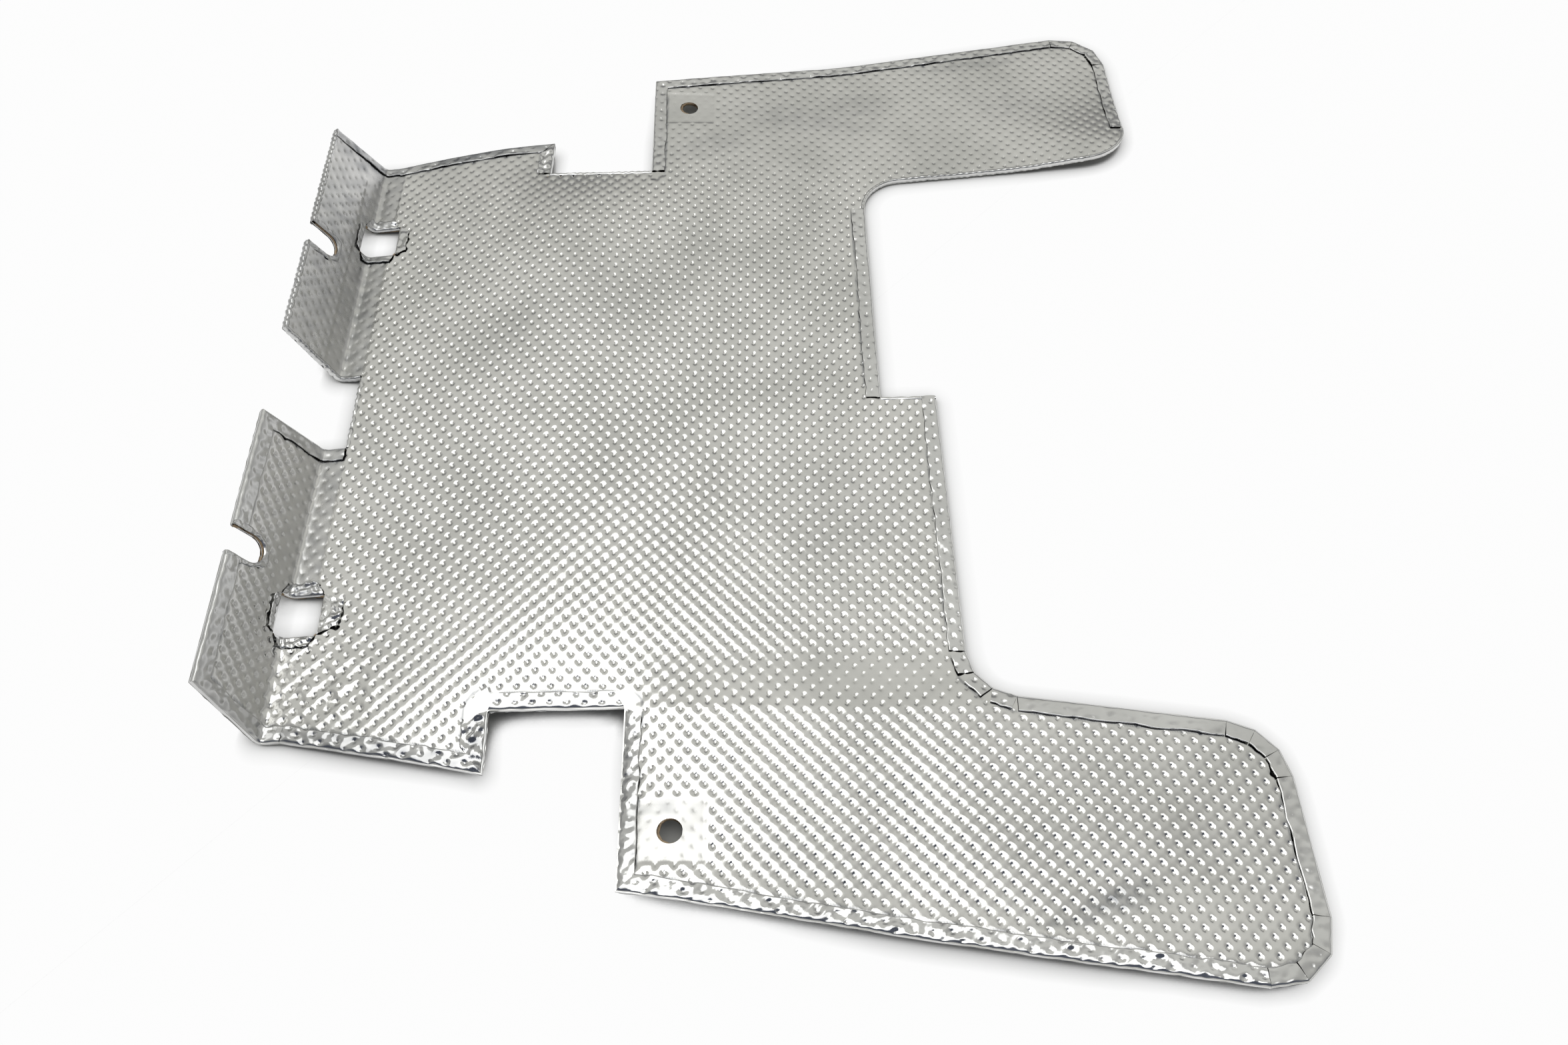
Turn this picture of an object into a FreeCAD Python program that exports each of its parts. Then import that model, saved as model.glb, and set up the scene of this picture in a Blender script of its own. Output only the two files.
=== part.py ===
import FreeCAD, Part
import math
import os

Vector = FreeCAD.Vector

# A folded heat shield: a fibre mat between two thin aluminium sheets. The back sheet is the larger
# one, and its margin is turned up round the mat and folded down on the face as a hem.
# All sizes are in millimetres and degrees. In plan, x runs from the crease of the fold across the
# sheet, and y along the crease, with the near end negative.

# Layers
BACK_T = 0.3
CORE_T = 2.0
FACE_T = 0.3
HEM_W = 7.0
SLIT_W = 1.0

# Section across the crease, measured on the face
FLANGE_W = 36.0
FLANGE_TURN = 67.0
FOLD_R = 1.4
RISE_LEN = 108.0
RISE_ANGLE = 5.8
CREST_R = 230.0
FALL_ANGLE = 4.2
FOOT_R = 300.0

# Panel beside the crease
NEAR_FOLD_Y = 168.5
FAR_FOLD_Y = 173.5
FOLD_STRAIGHT = 8.0
GAP_NEAR_Y = 20.3
GAP_FAR_Y = 22.2
GAP_DEPTH = 10.0

# Shoulders and the two side notches
SHOULDER_X = 92.5
SHOULDER_Y = 186.5
NOTCH_FLOOR_Y = 160.0

# Arms
ARM_X = 148.0
ARM_CORNER_Y = 235.0
TIP_X = 411.5
TIP_OUTER_Y = 280.0
NEAR_TIP_INNER_Y = 173.8
FAR_TIP_INNER_Y = 166.9
TIP_R = 25.0

# Edge between the arms, which steps in on its far half
NEAR_EDGE_X = 289.3
FAR_EDGE_X = 262.8
STEP_Y = 2.7
NEAR_ROOT_Y = 154.3
FAR_ROOT_Y = 152.9
ROOT_R = 22.0

# Fixing holes, from the inner and outer corner of each arm
HOLE_R = 5.0
HOLE_FROM_ARM_X = 19.5
HOLE_FROM_CORNER_Y = 22.5

# Windows across the crease and slots in the flange's free edge, from each end of the fold
WINDOW_W = 20.0
WINDOW_ON_PANEL = 14.5
WINDOW_ON_FLANGE = 5.5
WINDOW_FROM_END = 58.2
SLOT_W = 13.0
SLOT_FLOOR = 18.5
SLOT_FROM_END = 80.0

# How far the ends of the two flange pieces lean in at the free edge
NEAR_END_TAPER = 13.0
FAR_END_TAPER = 3.5
GAP_END_TAPER = 6.5

# Reach of the cutting tools past the sheet
REACH = 20.0
OVERCUT = 1.0

STACK_T = BACK_T + CORE_T + FACE_T
FLANGE_LEAN = FLANGE_TURN - RISE_ANGLE
EVERYWHERE = 2.0 * (TIP_X + TIP_OUTER_Y)
BARE = -OVERCUT


def direction(angle):
    turn = math.radians(angle)
    return Vector(math.cos(turn), math.sin(turn), 0)


def left_of(heading):
    return Vector(-heading.y, heading.x, 0)


def turn_between(heading_in, heading_out):
    """Signed turn in radians, positive to the left."""
    return math.atan2(heading_in.cross(heading_out).z, heading_in.dot(heading_out))


def moved_corner(before, corner, after, radius, gap_in, gap_out):
    """A corner after its two sides have moved to their left, and its new radius."""
    heading_in = (corner - before).normalize()
    heading_out = (after - corner).normalize()
    turn = turn_between(heading_in, heading_out)
    start = corner + left_of(heading_in) * gap_in
    goal = corner + left_of(heading_out) * gap_out
    along = (goal - start).cross(heading_out).z / math.sin(turn)
    new_radius = 0.0
    if radius > 0:
        new_radius = max(0.0, radius - math.copysign(0.5 * (gap_in + gap_out), turn))
    return start + heading_in * along, new_radius


def inset(outline, gaps):
    """A closed outline with side i, from corner i to the next, moved inwards by gaps[i]."""
    corners = []
    for i, (point, radius) in enumerate(outline):
        before = outline[i - 1][0]
        after = outline[(i + 1) % len(outline)][0]
        corners.append(moved_corner(before, point, after, radius, gaps[i - 1], gaps[i]))
    return corners


def offset_path(path, gap):
    """An open path moved to its left."""
    first = (path[1][0] - path[0][0]).normalize()
    last = (path[-1][0] - path[-2][0]).normalize()
    corners = [(path[0][0] + left_of(first) * gap, 0.0)]
    for before, corner, after in zip(path, path[1:], path[2:]):
        corners.append(moved_corner(before[0], corner[0], after[0], corner[1], gap, gap))
    corners.append((path[-1][0] + left_of(last) * gap, 0.0))
    return corners


def rounding(before, corner, after, radius):
    """Start, middle, end and centre of the arc that rounds a corner."""
    heading_in = (corner - before).normalize()
    heading_out = (after - corner).normalize()
    half_turn = 0.5 * turn_between(heading_in, heading_out)
    tangent = radius * math.tan(abs(half_turn))
    start = corner - heading_in * tangent
    end = corner + heading_out * tangent
    centre = start + left_of(heading_in) * math.copysign(radius, half_turn)
    middle = centre + (corner - centre).normalize() * radius
    return start, middle, end, centre


def rounded_face(outline):
    """Flat face inside a closed outline of (point, radius) corners."""
    edges = []
    joints = []
    for i, (corner, radius) in enumerate(outline):
        if radius > 0:
            before = outline[i - 1][0]
            after = outline[(i + 1) % len(outline)][0]
            start, middle, end, centre = rounding(before, corner, after, radius)
            edges.append(Part.Arc(start, middle, end).toShape())
            joints.append((start, end))
        else:
            joints.append((corner, corner))
    for i, (start, end) in enumerate(joints):
        edges.append(Part.LineSegment(joints[i - 1][1], start).toShape())
    return Part.Face(Part.Wire(Part.__sortEdges__(edges)))


# Section of the face: down the flange, round the fold, over the crest and out to the arm tips.
# The fall brings the arms down to the level of the fold's underside, so the sheet lies on both.
crease = Vector(0, 0, 0)
rise_way = direction(RISE_ANGLE)
fall_way = direction(-FALL_ANGLE)
flange_way = direction(180.0 - FLANGE_LEAN)
bisector = (rise_way + flange_way).normalize()
fold_centre = crease + bisector * (FOLD_R / math.cos(math.radians(0.5 * FLANGE_TURN)))
underside = fold_centre.y - FOLD_R - STACK_T
crest = crease + rise_way * RISE_LEN
fall_len = (crest.y - underside - STACK_T) / math.sin(math.radians(FALL_ANGLE))
foot = crest + fall_way * fall_len
FACE_PATH = [
    (crease + flange_way * (FLANGE_W + REACH), 0.0),
    (crease, FOLD_R),
    (crest, CREST_R),
    (foot, FOOT_R),
    (Vector(TIP_X + REACH, foot.y, 0), 0.0),
]


def layer(low, high):
    """The whole bent sheet between two depths measured from the face, before it is trimmed."""
    outline = offset_path(FACE_PATH, low) + offset_path(FACE_PATH, high)[::-1]
    face = rounded_face(outline)
    face.rotate(Vector(0, 0, 0), Vector(1, 0, 0), 90)
    face.translate(Vector(0, -0.5 * EVERYWHERE, 0))
    return face.extrude(Vector(0, EVERYWHERE, 0))


# Outline of the panel, counter-clockwise, each corner as x, y, radius and the hem on the next side.
# It runs on past the crease, where the flange takes over.
PANEL = [
    (-REACH, -NEAR_FOLD_Y, 0, HEM_W),
    (FOLD_STRAIGHT, -NEAR_FOLD_Y, 0, HEM_W),
    (SHOULDER_X, -SHOULDER_Y, 0, HEM_W),
    (SHOULDER_X, -NOTCH_FLOOR_Y, 0, HEM_W),
    (ARM_X, -NOTCH_FLOOR_Y, 0, HEM_W),
    (ARM_X, -ARM_CORNER_Y, 0, HEM_W),
    (TIP_X, -TIP_OUTER_Y, TIP_R, HEM_W),
    (TIP_X, -NEAR_TIP_INNER_Y, TIP_R, HEM_W),
    (NEAR_EDGE_X, -NEAR_ROOT_Y, ROOT_R, HEM_W),
    (NEAR_EDGE_X, STEP_Y, 0, BARE),
    (FAR_EDGE_X, STEP_Y, 0, HEM_W),
    (FAR_EDGE_X, FAR_ROOT_Y, ROOT_R, BARE),
    (TIP_X, FAR_TIP_INNER_Y, TIP_R, HEM_W),
    (TIP_X, TIP_OUTER_Y, TIP_R, HEM_W),
    (ARM_X, ARM_CORNER_Y, 0, HEM_W),
    (ARM_X, NOTCH_FLOOR_Y, 0, BARE),
    (SHOULDER_X, NOTCH_FLOOR_Y, 0, HEM_W),
    (SHOULDER_X, SHOULDER_Y, 0, HEM_W),
    (FOLD_STRAIGHT, FAR_FOLD_Y, 0, HEM_W),
    (-REACH, FAR_FOLD_Y, 0, BARE),
    (-REACH, GAP_FAR_Y, 0, BARE),
    (GAP_DEPTH, GAP_FAR_Y, 0, BARE),
    (GAP_DEPTH, -GAP_NEAR_Y, 0, HEM_W),
    (-REACH, -GAP_NEAR_Y, 0, BARE),
]

# Outlines of the two flange pieces in the flange's own plane, from the crease up to the free edge
NEAR_FLANGE = [
    (-REACH, -NEAR_FOLD_Y, 0, HEM_W),
    (0, -NEAR_FOLD_Y, 0, HEM_W),
    (FLANGE_W, NEAR_END_TAPER - NEAR_FOLD_Y, 0, HEM_W),
    (FLANGE_W, -GAP_NEAR_Y, 0, HEM_W),
    (-REACH, -GAP_NEAR_Y, 0, BARE),
]
FAR_FLANGE = [
    (-REACH, GAP_FAR_Y, 0, BARE),
    (0, GAP_FAR_Y, 0, BARE),
    (FLANGE_W, GAP_FAR_Y + GAP_END_TAPER, 0, BARE),
    (FLANGE_W, FAR_FOLD_Y - FAR_END_TAPER, 0, HEM_W),
    (0, FAR_FOLD_Y, 0, HEM_W),
    (-REACH, FAR_FOLD_Y, 0, BARE),
]


def on_flange(shape):
    """Set a shape drawn flat, with its x up the flange, into the flange's plane."""
    up = Vector(flange_way.x, 0, flange_way.y)
    along = Vector(0, 1, 0)
    turn = FreeCAD.Rotation(up, along, up.cross(along), "XYZ")
    placed = shape.copy()
    placed.Placement = FreeCAD.Placement(Vector(0, 0, 0), turn).multiply(placed.Placement)
    return placed


def column(outline):
    """Prism that cuts through the whole stack from a flat outline."""
    face = rounded_face(outline)
    face.translate(Vector(0, 0, -REACH))
    return face.extrude(Vector(0, 0, 2.0 * REACH))


def half_space(side):
    """All that lies on one side of the plane through the crease that halves the fold."""
    box = Part.makeBox(EVERYWHERE, EVERYWHERE, EVERYWHERE)
    low = 0.0 if side > 0 else -EVERYWHERE
    box.translate(Vector(low, -0.5 * EVERYWHERE, -0.5 * EVERYWHERE))
    across = (rise_way - flange_way).normalize()
    x_way = Vector(across.x, 0, across.y)
    z_way = Vector(bisector.x, 0, bisector.y)
    turn = FreeCAD.Rotation(x_way, Vector(0, 1, 0), z_way, "XYZ")
    box.Placement = FreeCAD.Placement(Vector(0, 0, 0), turn).multiply(box.Placement)
    return box


PANEL_SIDE = half_space(1)
FLANGE_SIDE = half_space(-1)


def trimmed(blank, gap_of):
    """A bent layer cut to the outline, each side set in by what gap_of makes of its hem."""
    pieces = []
    for corners, flat in ((PANEL, True), (NEAR_FLANGE, False), (FAR_FLANGE, False)):
        outline = [(Vector(x, y, 0), radius) for x, y, radius, hem in corners]
        gaps = [gap_of(hem) for x, y, radius, hem in corners]
        tool = column(inset(outline, gaps))
        if flat:
            pieces.append(blank.common(PANEL_SIDE).common(tool))
        else:
            pieces.append(blank.common(FLANGE_SIDE).common(on_flange(tool)))
    return pieces[0].fuse(pieces[1:]).removeSplitter()


def to_edge(hem):
    return 0.0


def to_wall(hem):
    return BACK_T


def to_hem_line(hem):
    return hem


def drill():
    """Tools for the fixing holes."""
    tools = []
    for side in (-1, 1):
        place = Vector(ARM_X + HOLE_FROM_ARM_X, side * (ARM_CORNER_Y - HOLE_FROM_CORNER_Y), -REACH)
        tools.append(Part.makeCylinder(HOLE_R, 2.0 * REACH, place))
    return tools


def from_end(distance):
    """Places along the crease that lie a distance in from its near and its far end."""
    return (distance - NEAR_FOLD_Y, FAR_FOLD_Y - distance)


def window_cutters():
    """Tools for the windows, which take in the fold, part of the panel and part of the flange."""
    tools = []
    for y in from_end(WINDOW_FROM_END):
        low = y - 0.5 * WINDOW_W
        on_panel = Part.makeBox(WINDOW_ON_PANEL, WINDOW_W, 2.0 * REACH, Vector(0, low, -REACH))
        up_flange = Part.makeBox(WINDOW_ON_FLANGE, WINDOW_W, 2.0 * REACH, Vector(0, low, -REACH))
        fold = Part.makeCylinder(WINDOW_ON_FLANGE, WINDOW_W, Vector(0, low, 0), Vector(0, 1, 0))
        tools.append(on_panel.fuse([on_flange(up_flange), fold]))
    return tools


def slot_cutters():
    """Tools for the round-ended slots in the flange's free edge."""
    tools = []
    end_r = 0.5 * SLOT_W
    for y in from_end(SLOT_FROM_END):
        bar_len = FLANGE_W + REACH - SLOT_FLOOR - end_r
        bar = Part.makeBox(bar_len, SLOT_W, 2.0 * REACH, Vector(SLOT_FLOOR + end_r, y - end_r, -REACH))
        end = Part.makeCylinder(end_r, 2.0 * REACH, Vector(SLOT_FLOOR + end_r, y, -REACH))
        tools.append(on_flange(bar.fuse(end)))
    return tools


def slit_cutters():
    """Tools that part the hem into tabs at the start, middle and end of each rounded corner."""
    tools = []
    for i, (x, y, radius, hem) in enumerate(PANEL):
        if radius == 0 or BARE in (hem, PANEL[i - 1][3]):
            continue
        before = Vector(PANEL[i - 1][0], PANEL[i - 1][1], 0)
        after = Vector(PANEL[i + 1][0], PANEL[i + 1][1], 0)
        start, middle, end, centre = rounding(before, Vector(x, y, 0), after, radius)
        for point in (start, middle, end):
            out = (point - centre).normalize()
            half_len = HEM_W + OVERCUT
            low = Vector(-half_len, -0.5 * SLIT_W, -REACH)
            slit = Part.makeBox(2.0 * half_len, SLIT_W, 2.0 * REACH, low)
            slit.rotate(Vector(0, 0, 0), Vector(0, 0, 1), math.degrees(math.atan2(out.y, out.x)))
            slit.translate(point)
            tools.append(slit)
    return tools


# The cuts go through all the layers, the slits only through the hem.
through_cuts = drill() + window_cutters() + slot_cutters()

floor = trimmed(layer(-STACK_T, -STACK_T + BACK_T), to_edge)
margin = layer(-STACK_T + BACK_T, 0.0)
wall = trimmed(margin, to_edge).cut(trimmed(margin, to_wall))
turned = layer(0.0, BACK_T)
hem = trimmed(turned, to_edge).cut(trimmed(turned, to_hem_line)).cut(slit_cutters())
back_sheet = floor.fuse([wall, hem]).removeSplitter().cut(through_cuts)
core_mat = trimmed(layer(-FACE_T - CORE_T, -FACE_T), to_wall).cut(through_cuts)
face_sheet = trimmed(layer(-FACE_T, 0.0), to_wall).cut(through_cuts)

# The origin is under the middle of the sheet's box, on the surface that the sheet lies on.
box = back_sheet.BoundBox
to_origin = Vector(-box.Center.x, -box.Center.y, -box.ZMin)

os.makedirs("parts", exist_ok=True)
for name, shape in (("back_sheet", back_sheet), ("core_mat", core_mat), ("face_sheet", face_sheet)):
    shape.translate(to_origin)
    shape.exportStep("parts/" + name + ".step")
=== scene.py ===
import math

import bpy
import numpy as np
from mathutils import Euler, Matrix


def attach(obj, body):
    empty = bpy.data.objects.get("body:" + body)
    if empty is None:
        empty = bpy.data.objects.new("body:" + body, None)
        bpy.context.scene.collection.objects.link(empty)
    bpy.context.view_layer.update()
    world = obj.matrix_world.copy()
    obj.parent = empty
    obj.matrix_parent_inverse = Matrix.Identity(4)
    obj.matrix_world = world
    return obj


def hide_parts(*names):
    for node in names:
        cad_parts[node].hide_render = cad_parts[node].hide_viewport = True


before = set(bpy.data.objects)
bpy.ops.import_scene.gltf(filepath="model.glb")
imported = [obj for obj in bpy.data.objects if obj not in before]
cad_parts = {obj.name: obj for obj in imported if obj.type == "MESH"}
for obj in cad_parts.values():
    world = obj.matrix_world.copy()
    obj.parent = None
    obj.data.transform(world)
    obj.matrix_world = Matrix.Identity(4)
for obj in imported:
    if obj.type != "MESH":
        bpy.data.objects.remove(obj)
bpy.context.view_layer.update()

# The heat shield is built flat and then bent. Flat places are in millimetres: x runs from the crease
# of the fold across the panel, or up the flange where it is negative, and y along the crease. Depth d
# is measured from the smooth face, along its normal.

# Metres in a millimetre, and the layers
MM = 0.001
STACK_T = 2.6
FOIL_T = 0.3
HEM_W = 7.0
BARE = 0.0

# Section across the crease
CREASE_X = -195.94
CREASE_Z = 2.51
FLANGE_W = 36.0
FLANGE_LEAN = 61.2
FOLD_R = 3.2
RISE_LEN = 108.0
RISE_ANGLE = 5.8
CREST_R = 230.0
FALL_ANGLE = 4.2
FOOT_R = 300.0
TIP_X = 411.5
ARM_Y = 280.0
BEND_ROWS = 41

# Embossing: dimples on a square lattice, with a faint knob in the middle of each square
PITCH = 5.0
LATTICE_X, LATTICE_Y = 116.28, -26.55
LATTICE_TURN = 44.05
DIMPLE_R = 2.3
DIMPLE_DEPTH = 1.0
DIMPLE_POWER = 2.6
WAVE_H = 0.045
KNOB_R = 0.55
KNOB_H = 0.05
# How the embossing shows on the back, and how the hem presses the face sheet down
BACK_BUMP, BACK_SHARE = 0.35, 0.5
HEM_SEAT, HEM_SEAT_EDGE, HEM_PRESS = 0.3, (-0.8, 1.4), 0.9
# Cells of the meshes in one step of the lattice
FACE_STEPS = 7
BACK_STEPS = 3
CORE_STEPS = 2

# The coined band along both sides of the fold, which ends at the near window
BAND_EDGE = (9.5, 11.5)
BAND_STEP_EDGE = (10.2, 11.4)
BAND_STEP = 0.25
BAND_CROWN, BAND_CROWN_W = 0.12, 10.8
BAND_ENDS_Y = (-124.0, -112.0)
# How much the band is pressed flat, its satin, and how much darker it is on the panel side
BAND_PRESS, BAND_SATIN, BAND_DARKER = 0.55, 0.4, 0.3
# The flange, from its near piece to its far piece: embossing and satin, and how they change
FLANGE_CHANGES_Y = (-10.0, 30.0)
FLANGE_EMBOSS, FLANGE_EMBOSS_LOSS = 0.8, 0.3
FLANGE_SATIN, FLANGE_SATIN_GAIN = 0.22, 0.28
# The flat pads round the holes; their edges are shares of the half widths
PAD_HALF_X, PAD_HALF_Y = 14.0, 12.5
PAD_EMBOSS, PAD_EMBOSS_EDGE = 0.2, (0.94, 1.1)
PAD_SATIN, PAD_SATIN_EDGE = 0.45, (0.94, 1.06)
PAD_STEP, PAD_STEP_EDGE = 0.3, (0.95, 1.03)
# Weak embossing at the near arm's root (centre, half widths, loss) and towards the far side (loss, y)
WEAK_PATCH = (255.0, -147.0, 52.0, 12.0, 0.6)
WORN = [(0.2, (-60.0, 120.0)), (0.3, (130.0, 205.0))]
# Crumpled patch between the near window and the near shoulder: centre, half widths, height, waves
CRUMPLE = (24.0, -143.0, 24.0, 20.0, 0.18, 12.0)
# Waves summed in the smooth noise, the spread of their lengths, and seeds
WAVE_COUNT, WAVE_SPREAD = 10, (0.7, 1.5)
MAIN_SEED = 11
CREASE_SEED, LOOSE_SEED, TAB_SEED, LIP_SEED = 5, 6, 20, 30
DARKEN_SEED, CRUMPLE_SEED, SEAM_SEED = 40, 50, 60

# Corners of the flat outline, counter-clockwise: x, y, radius and the hem on the side that follows
OUTLINE = [
    (8, -168.5, 0, HEM_W), (92.5, -186.5, 0, 9.5), (92.5, -160, 0, HEM_W), (148, -160, 0, HEM_W),
    (148, -235, 0, HEM_W), (TIP_X, -ARM_Y, 25, HEM_W), (TIP_X, -173.8, 25, HEM_W),
    (289.3, -154.3, 22, HEM_W), (289.3, 2.7, 0, BARE), (262.8, 2.7, 0, HEM_W),
    (262.8, 152.9, 22, BARE), (TIP_X, 166.9, 25, HEM_W), (TIP_X, ARM_Y, 25, HEM_W),
    (148, 235, 0, HEM_W), (148, 160, 0, BARE), (92.5, 160, 0, HEM_W), (92.5, 186.5, 0, 6.0),
    (8, 173.5, 0, 5.5), (0, 173.5, 0, 5.0), (-FLANGE_W, 170, 0, BARE), (-FLANGE_W, 28.7, 0, BARE),
    (0, 22.2, 0, BARE), (10, 22.2, 0, BARE), (10, -20.3, 0, HEM_W), (0, -20.3, 0, HEM_W),
    (-FLANGE_W, -20.3, 0, HEM_W), (-FLANGE_W, -155.5, 0, HEM_W), (0, -168.5, 0, HEM_W),
]
# How the hem looks on each side: share of the embossing, height of its creases and of its rolled edge
HEM_PLAIN = (0.6, 0.05, 0.12)
HEM_LOOKS = {
    0: (1.0, 0.11, 0.45), 1: (0.4, 0.40, 0.4), 2: (0.9, 0.07, 0.3), 3: (0.5, 0.16, 0.9),
    4: (0.8, 0.10, 0.4), 5: (0.25, 0.05, 0.2), 6: (0.2, 0.04, 0.2), 7: (0.8, 0.02, 0.15),
    8: (0.0, 0.06, 0.0), 10: (0.0, 0.10, 0.0), 14: (0.0, 0.10, 0.0), 15: (0.5, 0.25, 0.3),
    19: (0.0, 0.22, 0.0), 20: (0.0, 0.12, 0.0), 21: (0.0, 0.16, 0.0), 22: (0.0, 0.16, 0.0),
    24: (0.3, 0.08, 0.2), 25: (0.3, 0.07, 0.3), 26: (0.4, 0.12, 0.3),
}
# Parts of a rounded corner: slit tabs where it is hemmed, facets where it is bare
TABS, BARE_FACETS = 3, 12
# How the ends of hems meet: a sharp inner corner's turn in radians, then shares of the hem's width
SHARP_INNER_TURN, INNER_DRAW_IN = -0.5, 0.65
INNER_TAB_GAPE, OUTER_TAB_GAP = 0.09, 0.03
# Teeth where a bare edge is torn through the embossing: height on each side, distance and lift
TEETH = {10: 0.5, 14: 0.4, 19: 0.9, 20: 0.6, 21: 0.4, 22: 0.5}
TOOTH_PITCH, TOOTH_LIFT = 3.54, 0.6

# Patches of dirt and of painted shade: centre, half length, half width, turn and strength
STAINS_AND_SHADE = [
    (318, -249, 16, 2, 4, 0.35), (50, 181, 52, 8, 9, 0.62), (-16, 166, 24, 10, 6, 0.5),
    # On the next line: painted shade in a dark line along the near pad's far step, then the pad a little
    # darker
    (166, -203, 15, 4, 0, 0.32), (166, -213, 17, 14, 0, 0.12),
    (50, -174, 52, 5, -12, 0.34), (90, -172, 5, 14, 0, 0.30), (150, -200, 5, 40, 0, 0.25),
    (232, 205, 42, 11, -8, 0.16), (262, 216, 20, 12, 10, 0.14), (330, 252, 34, 4, 8, 0.20),
    (352, 214, 22, 14, 0, 0.14), (180, 182, 26, 10, 20, 0.12), (120, 60, 60, 30, 30, 0.05),
    # On the next line: painted shade darkening the flange, near and far, then a faint patch on the panel
    (-20, -90, 80, 24, 85, 0.14), (-18, 100, 80, 24, 85, 0.32), (250, -60, 40, 26, 0, 0.05),
]
# Grime that draws rings round the dimples, in the same form
RING_STAIN = (336, -241, 17, 5.5, 14, 0.62)
RING_R, RING_W, RING_GROUND = 1.7, 0.6, 0.4
STAIN_POWER = 1.5
DARKEN_VARY, DARKEN_WAVE = 0.25, 9.0
# Painted shade in the seam along the hem's free edge, for the dark gap under it: distance from that
# edge, width, strength and waves
SEAM_AT, SEAM_W, SEAM_DARK = 0.3, 0.6, 0.7
SEAM_MEAN, SEAM_VARY, SEAM_WAVE = 0.75, 0.5, 14.0

# Cuts: fixing holes, windows through the fold and slots in the flange's free edge
HOLES = [(167.5, -212.5), (167.5, 212.5)]
HOLE_R = 5.0
WINDOWS = [-110.3, 115.3]
WINDOW_HALF_W = 10.0
WINDOW_ON_PANEL, WINDOW_ON_FLANGE = 14.5, 5.5
WINDOW_POINTS = 12
SLOTS = [-88.5, 93.5]
SLOT_R = 6.5
SLOT_FLOOR = 18.5
SLOT_PAST_EDGE = 12.0
SLOT_POINTS = 17

# Dents in the sheet: centre, half widths and height, each a smooth bump
DENTS = [
    (112, 182, 38, 34, -6.0), (116, -184, 36, 30, -5.0), (404, 170, 40, 34, 5.0),
    (270, -165, 50, 34, 1.2),
]
DENTS_FADE_X = (4.0, 40.0)
# The kink at the near arm's root: the sheet climbs from one line to the next, and less from there on
KINK_START_Y, KINK_TOP_Y, KINK_END_Y = -134.0, -161.0, -285.0
KINK_H, KINK_POWER = 2.2, 1.5
KINK_LEFT_X = (134.0, 172.0)
ARM_RISE = 1.4
# The strip along the near arm's outer edge, bent up a little more
STRIP_W, STRIP_TIP_W = 15.0, 36.0
STRIP_WIDENS_X = (312.0, 352.0)
STRIP_STARTS_X = (140.0, 165.0)
STRIP_SLOPE, STRIP_ROUND, STRIP_MOST = 0.09, 3.0, 50.0

rng = np.random.default_rng(MAIN_SEED)


def smooth(low, high, value):
    """A smooth step from 0 at low to 1 at high."""
    t = np.clip((value - low) / (high - low), 0.0, 1.0)
    return t * t * (3.0 - 2.0 * t)


def waves(x, y, length, seed):
    """Smooth seeded noise of about unit height, with waves of about this length."""
    draw = np.random.default_rng(seed)
    total = 0.0
    for _ in range(WAVE_COUNT):
        angle, phase = draw.uniform(0.0, 2.0 * np.pi, 2)
        size = length * draw.uniform(*WAVE_SPREAD)
        total = total + np.cos(2.0 * np.pi * (x * math.cos(angle) + y * math.sin(angle)) / size + phase)
    return total / math.sqrt(0.5 * WAVE_COUNT)


def section_table():
    """Rows of place along the sheet, x, z and heading, from the free edge of the flange to the tips."""
    flange = -math.radians(FLANGE_LEAN)
    rise = math.radians(RISE_ANGLE)
    fall = -math.radians(FALL_ANGLE)
    crease = np.array([CREASE_X, CREASE_Z])
    crest = crease + RISE_LEN * np.array([math.cos(rise), math.sin(rise)])
    fall_len = (crest[1] - STACK_T) / math.sin(math.radians(FALL_ANGLE))
    foot = crest + fall_len * np.array([math.cos(fall), math.sin(fall)])
    rows = []

    def bend(corner, before, after, radius, at_fold):
        """An arc that rounds a corner between two headings."""
        half = 0.5 * (after - before)
        reach = radius * math.tan(abs(half))
        start = corner - reach * np.array([math.cos(before), math.sin(before)])
        side = math.copysign(1.0, half)
        centre = start + side * radius * np.array([-math.sin(before), math.cos(before)])
        for t in np.linspace(0.0, 1.0, BEND_ROWS):
            heading = before + 2.0 * half * t
            point = centre - side * radius * np.array([-math.sin(heading), math.cos(heading)])
            along = reach * (2.0 * t - 1.0) if at_fold else point[0] - CREASE_X
            rows.append((along, point[0], point[1], heading))

    far = 60.0
    out = crease - far * np.array([math.cos(flange), math.sin(flange)])
    rows.append((-far, out[0], out[1], flange))
    bend(crease, flange, rise, FOLD_R, True)
    bend(crest, rise, fall, CREST_R, False)
    bend(foot, fall, 0.0, FOOT_R, False)
    rows.append((TIP_X + far, CREASE_X + TIP_X + far, foot[1], 0.0))
    return np.array(rows)


SECTION = section_table()


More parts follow.
